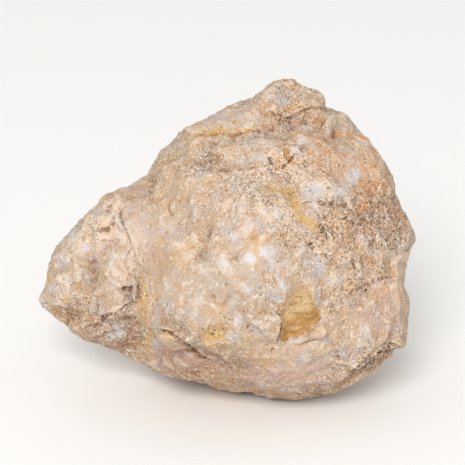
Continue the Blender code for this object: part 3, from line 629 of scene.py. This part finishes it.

# Weathered limestone rind, stained with clay, with quartz showing here and there, painted shade in its
# hollows and cracks and a painted highlight on its crests.
# Dry and chalky: no gloss but on the quartz, and grainy at every scale.
rindLook = {
    "base": "#bfa68d",
    # stains and painted light and shade: wavers and widths in pixels
    "stainWaver": (4.0, 2.4),
    "stainRagged": (0.3, 0.22),  # how far the fine and the broad noise fray the edges, in half sizes
    "stainFade": (0.35, 1.5),  # a stain runs out between these, in half sizes
    "hiddenRagged": 1.6,  # how much more the hidden sides' stains fray
    "hiddenStrength": (0.35, 0.9),
    "scarWaver": (1.0, 1.8),
    "scarFade": (-2.2, 2.2),  # to either side of the scar's outline
    "scarTurn": (0.35, 300.0, 4.0),  # slope, middle and waver of the line where its colour deepens
    "streakWaver": (2.5, 2.0),
    "streakHalf": (3.0, 7.0),
    "streakStrength": (0.64, 0.5),  # usual, and how much the fine noise changes it
    "hollowRounds": (6, 30),  # of evening out, to know what lies near by and farther out
    "hollowMix": (0.3, 0.7),  # what a point keeps in a round, and what it takes from its neighbours
    "hollowWeights": (1.5, 0.35),  # of near by and farther out
    "hollowScar": 0.7,  # how far the scar is spared
    "crackCrumbs": 0.45,  # pits crowd along the cracks
    "mostCrumbled": 1.1,
    # size in mm and detail; real sand grains are 0.1 to 0.3 mm and are drawn coarser to show
    "noises": {
        "clouds": (15.0, 3.0),
        "drift": (9.0, 3.0),
        "mottle": (4.2, 4.0),
        "smudge": (3.0, 4.0),
        "speckle": (1.5, 3.0),
        "fleck": (0.9, 2.0),
        "grain": (0.55, 1.0),
        "dust": (0.40, 1.0),
    },
    "pushed": 0.9,  # how far the fleck noise pushes pits, gaps and bands about, mm
    "pitSpacing": 1.6,  # mm
    "pitChance": 0.5,
    "gapSpacing": 1.8,  # mm, between the hairline gaps of crumbled rind
    "gapBroken": 0.5,
    "bandSpacing": 1.1,  # mm, between the faint streaks across the scar
    "bandStretch": (0.22, 0.22, 1.0),
    "bandDetail": 2.0,
    # colour, attribute and its weight, noise and its weight, from, to, strength
    "layers": [
        ("#d5ab78", None, 0, "clouds", 1.0, -0.02, 0.12, 0.60),
        ("#b8aeab", None, 0, "drift", 1.0, 0.00, 0.14, 0.80),
        ("#dac6b2", None, 0, "mottle", 1.0, 0.02, 0.16, 0.60),
        ("#b2865c", None, 0, "smudge", 1.0, 0.03, 0.17, 0.72),
        ("#e3ccb5", "cream", 1.0, "mottle", 0.8, 0.05, 0.80, 0.80),
        ("#b1987e", "tan", 1.0, "mottle", 0.9, 0.05, 0.80, 0.80),
        ("#bd9a8e", "pink", 1.0, "mottle", 0.8, 0.05, 0.80, 0.75),
        ("#d8985e", "orange", 1.0, "smudge", 1.0, 0.10, 0.80, 0.85),
        ("#ada5a2", "grey", 1.0, "speckle", 0.9, 0.10, 0.80, 0.85),
        ("#95673f", "brown", 1.0, "speckle", 1.1, 0.10, 0.90, 0.85),
        ("#e4d3c0", "crumbled", 0.06, "speckle", 1.0, 0.08, 0.17, 0.62),
        ("#96602f", "crumbled", 0.12, "fleck", 1.0, 0.13, 0.22, 0.84),
        ("#cda566", "ochre", 1.0, "fleck", 1.0, 0.10, 0.75, 0.90),
        ("#bb7a2a", "ochre", 1.0, "mottle", 0.8, 0.70, 1.10, 0.90),
        ("#c1a073", "scar", 1.0, "fleck", 2.2, 0.30, 0.60, 0.95),
        ("#b5833f", "scarLow", 1.0, "smudge", 1.4, 0.05, 0.70, 0.80),
        ("#946c3a", "scar", 0.5, "bands", 1.0, 0.53, 0.66, 0.65),
        ("#cfb285", "scar", 0.5, "bands", -1.0, 0.55, 0.70, 0.60),
        ("#f0e5d9", "crumbled", 0.15, "dust", 1.0, 0.13, 0.26, 0.80),
        ("#7d5733", "crumbled", 0.15, "grain", 1.0, 0.135, 0.265, 0.84),
        # the next two: painted shade, with some dirt, darkens the hollows, and a painted highlight lightens
        # the crests
        ("#7a5234", "hollow", 1.0, "speckle", 0.6, 0.25, 1.00, 0.70),
        ("#e7d6c4", "hollow", -1.0, "speckle", 0.6, 0.15, 0.80, 0.45),
        ("#d0cbca", "white", 1.0, "fleck", 1.6, 0.05, 0.95, 0.90),
        ("#7a5232", "crumbled", 0.20, "gaps", -1.0, 0.62, 0.69, 0.70),
        ("#5f3816", "crumbled", 0.33, "pits", -1.0, 0.49, 0.57, 0.92),
        ("#efe2d0", "tone", 1.0, "dust", 0.4, 0.10, 1.00, 0.75),
        ("#835c38", "tone", -1.0, "dust", 0.4, 0.30, 1.00, 0.60),
    ],
    # colour of the painted shade at a crack's bottom
    "crack": "#6f4320",
    "crackHalf": 0.18,  # half width of a crack's dark bottom, mm
    "crackCore": 0.3,  # the share of it that is darkest
    "crackRagged": 1.6,  # mm
    "crackBroken": (0.8, 0.80, 1.30),  # weight of the speckle, and where the line starts and is whole
    "roughness": (0.93, 0.55),  # of the rind and of the quartz
    "specular": 0.35,
    "bump": (0.95, 0.7 * mm),
    "bumpNoises": {"speckle": 0.5, "fleck": 0.6, "grain": 0.7, "dust": 0.4},
    "bumpSmooth": 0.55,  # the grain's height where nothing is crumbled
    "bumpScar": 0.25,
    "bumpDips": (-0.5, -0.4, -0.8),  # of pits, gaps and cracks
}


def stainAndShadingPattern(skin):
    painted = {}
    x, y = wavered(skin, *rindLook["stainWaver"])
    fine, broad = rindLook["stainRagged"]
    ragged = fine * skin["fine"][1] + broad * skin["broad"][1]
    dice = random.Random(23)
    for kind, patches in stainsAndShading.items():
        total = np.zeros(len(x))
        for cx, cy, w, h, strength, *turn in patches:
            angle = math.radians(turn[0] if turn else 0)
            c, s = math.cos(angle), math.sin(angle)
            along = (c * (x - cx) + s * (y - cy)) / w
            across = (-s * (x - cx) + c * (y - cy)) / h
            gap = np.hypot(along, across) + ragged
            total = np.maximum(total, strength / 100 * (1.0 - ease(*rindLook["stainFade"], gap)))
        total *= skin["front"]
        count, least, most = hiddenStains[kind]
        for _ in range(count):
            centre = skin["points"][dice.randrange(len(x))]
            size = dice.uniform(least * mm, most * mm)
            strength = dice.uniform(*rindLook["hiddenStrength"])
            gap = np.linalg.norm(skin["points"] - centre, axis=1) / size + rindLook["hiddenRagged"] * ragged
            total = np.maximum(total, strength * (1.0 - ease(*rindLook["stainFade"], gap)) * skin["hidden"])
        painted[kind] = total
    inside = insideScar(*wavered(skin, *rindLook["scarWaver"]))
    scar = ease(*rindLook["scarFade"], inside) * skin["front"]
    for kind in painted:
        painted[kind] *= 1.0 - scar
    x, y = wavered(skin, *rindLook["streakWaver"])
    streak = (1.0 - ease(*rindLook["streakHalf"], pathGap(x, y, ochreStreak)[0])) * skin["front"]
    usual, change = rindLook["streakStrength"]
    painted["ochre"] = np.maximum(painted["ochre"], usual * streak * (1.0 + change * skin["fine"][0]))
    painted["scar"] = scar
    slope, middle, frayed = rindLook["scarTurn"]
    depth = skin["y"] + slope * (skin["x"] - middle) + frayed * skin["fine"][0]
    painted["scarLow"] = scar * ease(*scarLower, depth)
    return painted


def hollowness(ob):
    # how far each point lies below its surroundings, in mm, near by and farther out
    a, b = readAll(ob.data.edges, "vertices", 2, int).T
    points, normals = meshPoints(ob), meshNormals(ob)
    neighbours = np.bincount(a, minlength=len(points)) + np.bincount(b, minlength=len(points))
    smooth, found = points.copy(), []
    kept, taken = rindLook["hollowMix"]
    for step in range(1, rindLook["hollowRounds"][-1] + 1):
        for k in range(3):
            total = np.bincount(a, smooth[b, k], len(points)) + np.bincount(b, smooth[a, k], len(points))
            smooth[:, k] = kept * smooth[:, k] + taken * total / neighbours
        if step in rindLook["hollowRounds"]:
            found.append(((smooth - points) * normals).sum(axis=1) / mm)
    return found


def writeAttribute(ob, name, values):
    made = ob.data.attributes.new(name, "FLOAT", "POINT")
    made.data.foreach_set("value", np.asarray(values, np.float32))


def paintRind(ob):
    skin = readSkin(ob)
    painted = stainAndShadingPattern(skin)
    for kind, values in painted.items():
        writeAttribute(ob, kind, values)
    _, dark, side = crackPattern(skin)
    crumbled = crumbledShare(skin) + rindLook["crackCrumbs"] * dark
    writeAttribute(ob, "crumbled", np.minimum(crumbled, rindLook["mostCrumbled"]))
    writeAttribute(ob, "crackShade", dark)
    writeAttribute(ob, "crackSide", side)
    # hollow drives the painted shade in the hollows and the painted highlight on the crests
    (near, far), (nearBy, fartherOut) = hollowness(ob), rindLook["hollowWeights"]
    hollow = np.clip(nearBy * near + fartherOut * far, -1.0, 1.0)
    writeAttribute(ob, "hollow", hollow * (1.0 - rindLook["hollowScar"] * painted["scar"]))


paintRind(rind)
print("rind painted")


def addNode(tree, kind, settings=None, links=None):
    # a link's value is a socket, a node (its shown output is taken) or a plain value
    node = tree.nodes.new("ShaderNode" + kind)
    for name, value in (settings or {}).items():
        setattr(node, name, value)
    shown = [s for s in node.inputs if s.enabled]
    for name, source in (links or {}).items():
        socket = shown[name] if isinstance(name, int) else next(s for s in shown if s.name == name)
        if hasattr(source, "outputs"):
            source = next(s for s in source.outputs if s.enabled)
        if hasattr(source, "is_output"):
            tree.links.new(source, socket)
        else:
            socket.default_value = source
    return node


def rindMaterial():
    made = bpy.data.materials.new("weatheredLimestoneRind")
    made.use_nodes = True
    tree = made.node_tree
    shader = tree.nodes["Principled BSDF"]
    multiplyAdd = {"operation": "MULTIPLY_ADD"}
    eased = {"interpolation_type": "SMOOTHSTEP"}
    ofColours = {"data_type": "RGBA"}
    place = addNode(tree, "TexCoord").outputs["Object"]

    noises = {}  # each is another slice of a 4D noise
    for seed, (name, (size, detail)) in enumerate(rindLook["noises"].items()):
        scale = 1.0 / (size * mm)
        noises[name] = addNode(tree, "TexNoise", {"noise_dimensions": "4D"},
                               {"Vector": place, "W": 1.7 * seed, "Scale": scale, "Detail": detail})
    # pits: a dot in each cell, its place pushed about and its size left to the cell's own chance
    pushed = addNode(tree, "VectorMath", multiplyAdd,
                     {0: noises["fleck"].outputs["Color"], 1: [rindLook["pushed"] * mm] * 3, 2: place})
    cells = addNode(tree, "TexVoronoi", {}, {"Vector": pushed, "Scale": 1.0 / (rindLook["pitSpacing"] * mm)})
    chance = addNode(tree, "SeparateColor", {}, {"Color": cells.outputs["Color"]})
    noises["pits"] = addNode(tree, "Math", multiplyAdd,
                             {0: chance, 1: rindLook["pitChance"], 2: cells.outputs["Distance"]})
    # gaps: the edges between crumbs, broken off where the speckle is strong
    edges = addNode(tree, "TexVoronoi", {"feature": "DISTANCE_TO_EDGE"},
                    {"Vector": pushed, "Scale": 1.0 / (rindLook["gapSpacing"] * mm)})
    noises["gaps"] = addNode(tree, "Math", multiplyAdd,
                             {0: noises["mottle"], 1: rindLook["gapBroken"], 2: edges.outputs["Distance"]})
    # bands: streaks that run level across the scar, drawn out of a stretched noise
    level = addNode(tree, "VectorMath", {"operation": "MULTIPLY"}, {0: pushed, 1: rindLook["bandStretch"]})
    noises["bands"] = addNode(tree, "TexNoise", {},
                              {"Vector": level, "Scale": 1.0 / (rindLook["bandSpacing"] * mm),
                               "Detail": rindLook["bandDetail"]})

    painted = {}
    for name in ("crumbled", "hollow", "crackShade", "crackSide", "scar", "scarLow", "tone", *stainsAndShading):
        painted[name] = addNode(tree, "Attribute", {"attribute_name": name}).outputs["Fac"]

    colour = linear(rindLook["base"])
    shares = {}
    for over, attribute, weight, pattern, pull, low, high, strength in rindLook["layers"]:
        start = 0.0
        if attribute:
            start = addNode(tree, "Math", {"operation": "MULTIPLY"}, {0: painted[attribute], 1: weight})
        value = addNode(tree, "Math", multiplyAdd, {0: noises[pattern], 1: pull, 2: start})
        middle = 0.5 * pull  # what a noise at its middle adds
        share = addNode(tree, "MapRange", eased,
                        {"Value": value, "From Min": low + middle, "From Max": high + middle,
                         "To Max": strength})
        colour = addNode(tree, "Mix", ofColours, {"Factor": share, "A": colour, "B": linear(over)})
        shares[attribute, pattern] = share
    quartz, gaps, pits = shares["white", "fleck"], shares["crumbled", "gaps"], shares["crumbled", "pits"]

    # painted shade at a crack's bottom: a ragged dark line along the zero of crackSide
    swing = rindLook["crackRagged"]
    ragged = addNode(tree, "Math", multiplyAdd, {0: noises["fleck"], 1: swing, 2: -0.5 * swing})
    across = addNode(tree, "Math", {"operation": "ADD"}, {0: painted["crackSide"], 1: ragged})
    across = addNode(tree, "Math", {"operation": "ABSOLUTE"}, {0: across})
    line = addNode(tree, "MapRange", eased,
                   {"Value": across, "From Min": rindLook["crackCore"] * rindLook["crackHalf"],
                    "From Max": rindLook["crackHalf"], "To Min": 1.0, "To Max": 0.0})
    weight, low, high = rindLook["crackBroken"]
    broken = addNode(tree, "Math", multiplyAdd, {0: noises["speckle"], 1: weight, 2: painted["crackShade"]})
    broken = addNode(tree, "MapRange", eased, {"Value": broken, "From Min": low, "From Max": high})
    line = addNode(tree, "Math", {"operation": "MULTIPLY"}, {0: line, 1: broken})
    colour = addNode(tree, "Mix", ofColours, {"Factor": line, "A": colour, "B": linear(rindLook["crack"])})
    tree.links.new(colour.outputs[2], shader.inputs["Base Color"])

    dull, glint = rindLook["roughness"]
    roughness = addNode(tree, "MapRange", {}, {"Value": quartz, "To Min": dull, "To Max": glint})
    tree.links.new(roughness.outputs[0], shader.inputs["Roughness"])
    shader.inputs["Specular IOR Level"].default_value = rindLook["specular"]

    # grain stands out most where the rind is crumbled
    height = 0.0
    for name, weight in rindLook["bumpNoises"].items():
        height = addNode(tree, "Math", multiplyAdd, {0: noises[name], 1: weight, 2: height})
    coarse = addNode(tree, "Math", {"operation": "ADD"}, {0: painted["crumbled"], 1: rindLook["bumpSmooth"]})
    coarse = addNode(tree, "Math", multiplyAdd, {0: painted["scar"], 1: rindLook["bumpScar"], 2: coarse})
    height = addNode(tree, "Math", {"operation": "MULTIPLY"}, {0: height, 1: coarse})
    for dip, weight in zip((pits, gaps, line), rindLook["bumpDips"]):
        height = addNode(tree, "Math", multiplyAdd, {0: dip, 1: weight, 2: height})
    strength, depth = rindLook["bump"]
    bump = addNode(tree, "Bump", {}, {"Strength": strength, "Distance": depth, "Height": height})
    tree.links.new(bump.outputs["Normal"], shader.inputs["Normal"])
    return made


rind.data.materials.clear()
rind.data.materials.append(rindMaterial())
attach(rind, "root")
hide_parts("geode")
print("rind finished")

# Grit: angular chips half sunk in the rind, thickest where it is crumbled
grit = {
    "shapes": 6,
    "count": 18500,
    "size": (0.17 * mm, 0.42 * mm),  # half sizes; drawn coarser than real sand to show
    "lumpShare": 0.05,
    "lumpSize": (0.5 * mm, 0.9 * mm),
    "bent": {"offset": 0.5, "uniform": 0.4, "normal": 0.2},
    "facesKept": 0.5,  # of a ball with 20
    "form": (1.0, 0.85, 0.65),  # length, width and thickness
    "sunk": 0.3,
    "bareUnder": 0.25,  # hardly any grit lies where the rind is crumbled less than this
    "onSmooth": 0.001,
    "overFloor": 1.0 * mm,  # none lies lower
    "contrast": (0.1, 1.6),  # how far chips differ in tone on smooth rind, and what crumbling adds
}


def chipShape(seed):
    bpy.ops.object.select_all(action="DESELECT")
    bpy.ops.mesh.primitive_ico_sphere_add(subdivisions=1, radius=1.0)
    chip = bpy.context.object
    bpy.ops.object.mode_set(mode="EDIT")
    bpy.ops.mesh.select_all(action="SELECT")
    bpy.ops.transform.vertex_random(seed=seed, **grit["bent"])
    bpy.ops.object.mode_set(mode="OBJECT")
    applyModifier(chip, "DECIMATE", ratio=grit["facesKept"])
    chip.data.calc_loop_triangles()
    faces = np.array([t.vertices for t in chip.data.loop_triangles])
    chipPoints = meshPoints(chip) * grit["form"]
    bpy.data.objects.remove(chip)
    return chipPoints, faces


def buildGrit():
    rng = np.random.default_rng(31)
    shapes = [chipShape(seed) for seed in range(grit["shapes"])]
    points, normals = meshPoints(rind), meshNormals(rind)
    rind.data.calc_loop_triangles()
    triangles = readAll(rind.data.loop_triangles, "vertices", 3, int)
    crumbled = readAll(rind.data.attributes["crumbled"].data, "value", 1, np.float32)[:, 0]
    a, b, c = points[triangles].transpose(1, 0, 2)
    area = np.linalg.norm(np.cross(b - a, c - a), axis=1)
    chance = area * (np.maximum(crumbled[triangles[:, 0]] - grit["bareUnder"], 0.0) ** 2 + grit["onSmooth"])
    chance *= points[triangles[:, 0], 2] > grit["overFloor"]
    chosen = rng.choice(len(triangles), grit["count"], p=chance / chance.sum())
    across, along = rng.random((2, len(chosen), 1))
    across, along = np.where(across + along > 1.0, (1.0 - across, 1.0 - along), (across, along))
    spots = a[chosen] + across * (b - a)[chosen] + along * (c - a)[chosen]
    near = triangles[chosen, 0]

    placed, faces, owners, tones = [], [], [], []
    total = 0
    plain, added = grit["contrast"]
    for i, spot in enumerate(spots):
        chip, chipFaces = shapes[rng.integers(len(shapes))]
        size = rng.uniform(*(grit["lumpSize"] if rng.random() < grit["lumpShare"] else grit["size"]))
        out = normals[near[i]]
        side = np.cross(out, rng.normal(size=3))
        side /= np.linalg.norm(side)
        turn = np.array((side, np.cross(out, side), out))
        placed.append((chip * size) @ turn + spot - out * size * grit["sunk"])
        faces.append(chipFaces + total)
        total += len(chip)
        owners.append(np.full(len(chip), near[i]))
        tone = rng.uniform(-1.0, 1.0) * min(1.0, plain + added * crumbled[near[i]])
        tones.append(np.full(len(chip), tone))
    mesh = bpy.data.meshes.new("geodeGrit")
    mesh.from_pydata(np.concatenate(placed), [], np.concatenate(faces))
    made = bpy.data.objects.new("geodeGrit", mesh)
    bpy.context.scene.collection.objects.link(made)
    owners = np.concatenate(owners)
    for attribute in rind.data.attributes:
        if attribute.data_type == "FLOAT" and attribute.domain == "POINT":
            values = readAll(attribute.data, "value", 1, np.float32)[:, 0]
            # chips take none of the painted shade of cracks and hollows
            if attribute.name in ("crackShade", "hollow"):
                values = np.minimum(values, 0.0)  # chips stand out of cracks and hollows
            writeAttribute(made, attribute.name, values[owners])
    writeAttribute(made, "tone", np.concatenate(tones))
    mesh.materials.append(rind.data.materials[0])
    return made


gritPiece = buildGrit()
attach(gritPiece, "root")
print("grit laid, %d faces" % len(gritPiece.data.polygons))

# The stage: a pale floor that sweeps up behind, and soft light
stage = {
    "width": 6.0,
    "front": -2.5,
    "back": 2.4,
    "wall": 3.0,
    "bend": 0.8,
    "bendSteps": 16,
    "paper": "#f6f5f3",
    "paperRoughness": 0.9,
    "world": 0.62,
    "keyAim": (0.0, 0.0, 0.05),
    "keyTowards": (-0.13, -0.81, 0.57),
    "keyDistance": 3.2,
    "keySize": 1.4,
    "keyPower": 78.5,
}


def buildStage():
    half = stage["width"] / 2
    rows = ((stage["front"], 0.0), (stage["back"], 0.0), (stage["back"], stage["wall"]))
    mesh = bpy.data.meshes.new("floor")
    mesh.from_pydata([(x, y, z) for y, z in rows for x in (-half, half)], [], [(0, 1, 3, 2), (2, 3, 5, 4)])
    floor = bpy.data.objects.new("floor", mesh)
    bpy.context.scene.collection.objects.link(floor)
    applyModifier(floor, "BEVEL", width=stage["bend"], segments=stage["bendSteps"], limit_method="ANGLE")
    bpy.ops.object.shade_smooth()
    paper = bpy.data.materials.new("matPaper")
    paper.use_nodes = True
    shader = paper.node_tree.nodes["Principled BSDF"]
    shader.inputs["Base Color"].default_value = linear(stage["paper"])
    shader.inputs["Roughness"].default_value = stage["paperRoughness"]
    floor.data.materials.append(paper)


def lightStage():
    data = bpy.data.lights.new("keyLight", "AREA")
    data.shape = "DISK"
    data.size = stage["keySize"]
    data.energy = stage["keyPower"]
    key = bpy.data.objects.new("keyLight", data)
    out = Vector(stage["keyTowards"]).normalized()
    key.location = Vector(stage["keyAim"]) + out * stage["keyDistance"]
    key.rotation_euler = out.to_track_quat("Z", "Y").to_euler()
    bpy.context.scene.collection.objects.link(key)
    world = bpy.data.worlds.new("studio")
    bpy.context.scene.world = world
    world.use_nodes = True
    sky = world.node_tree.nodes["Background"]
    sky.inputs["Color"].default_value = (1.0, 1.0, 1.0, 1.0)
    sky.inputs["Strength"].default_value = stage["world"]
    bpy.context.scene.view_settings.view_transform = "Standard"


buildStage()
lightStage()
print("stage and light set")
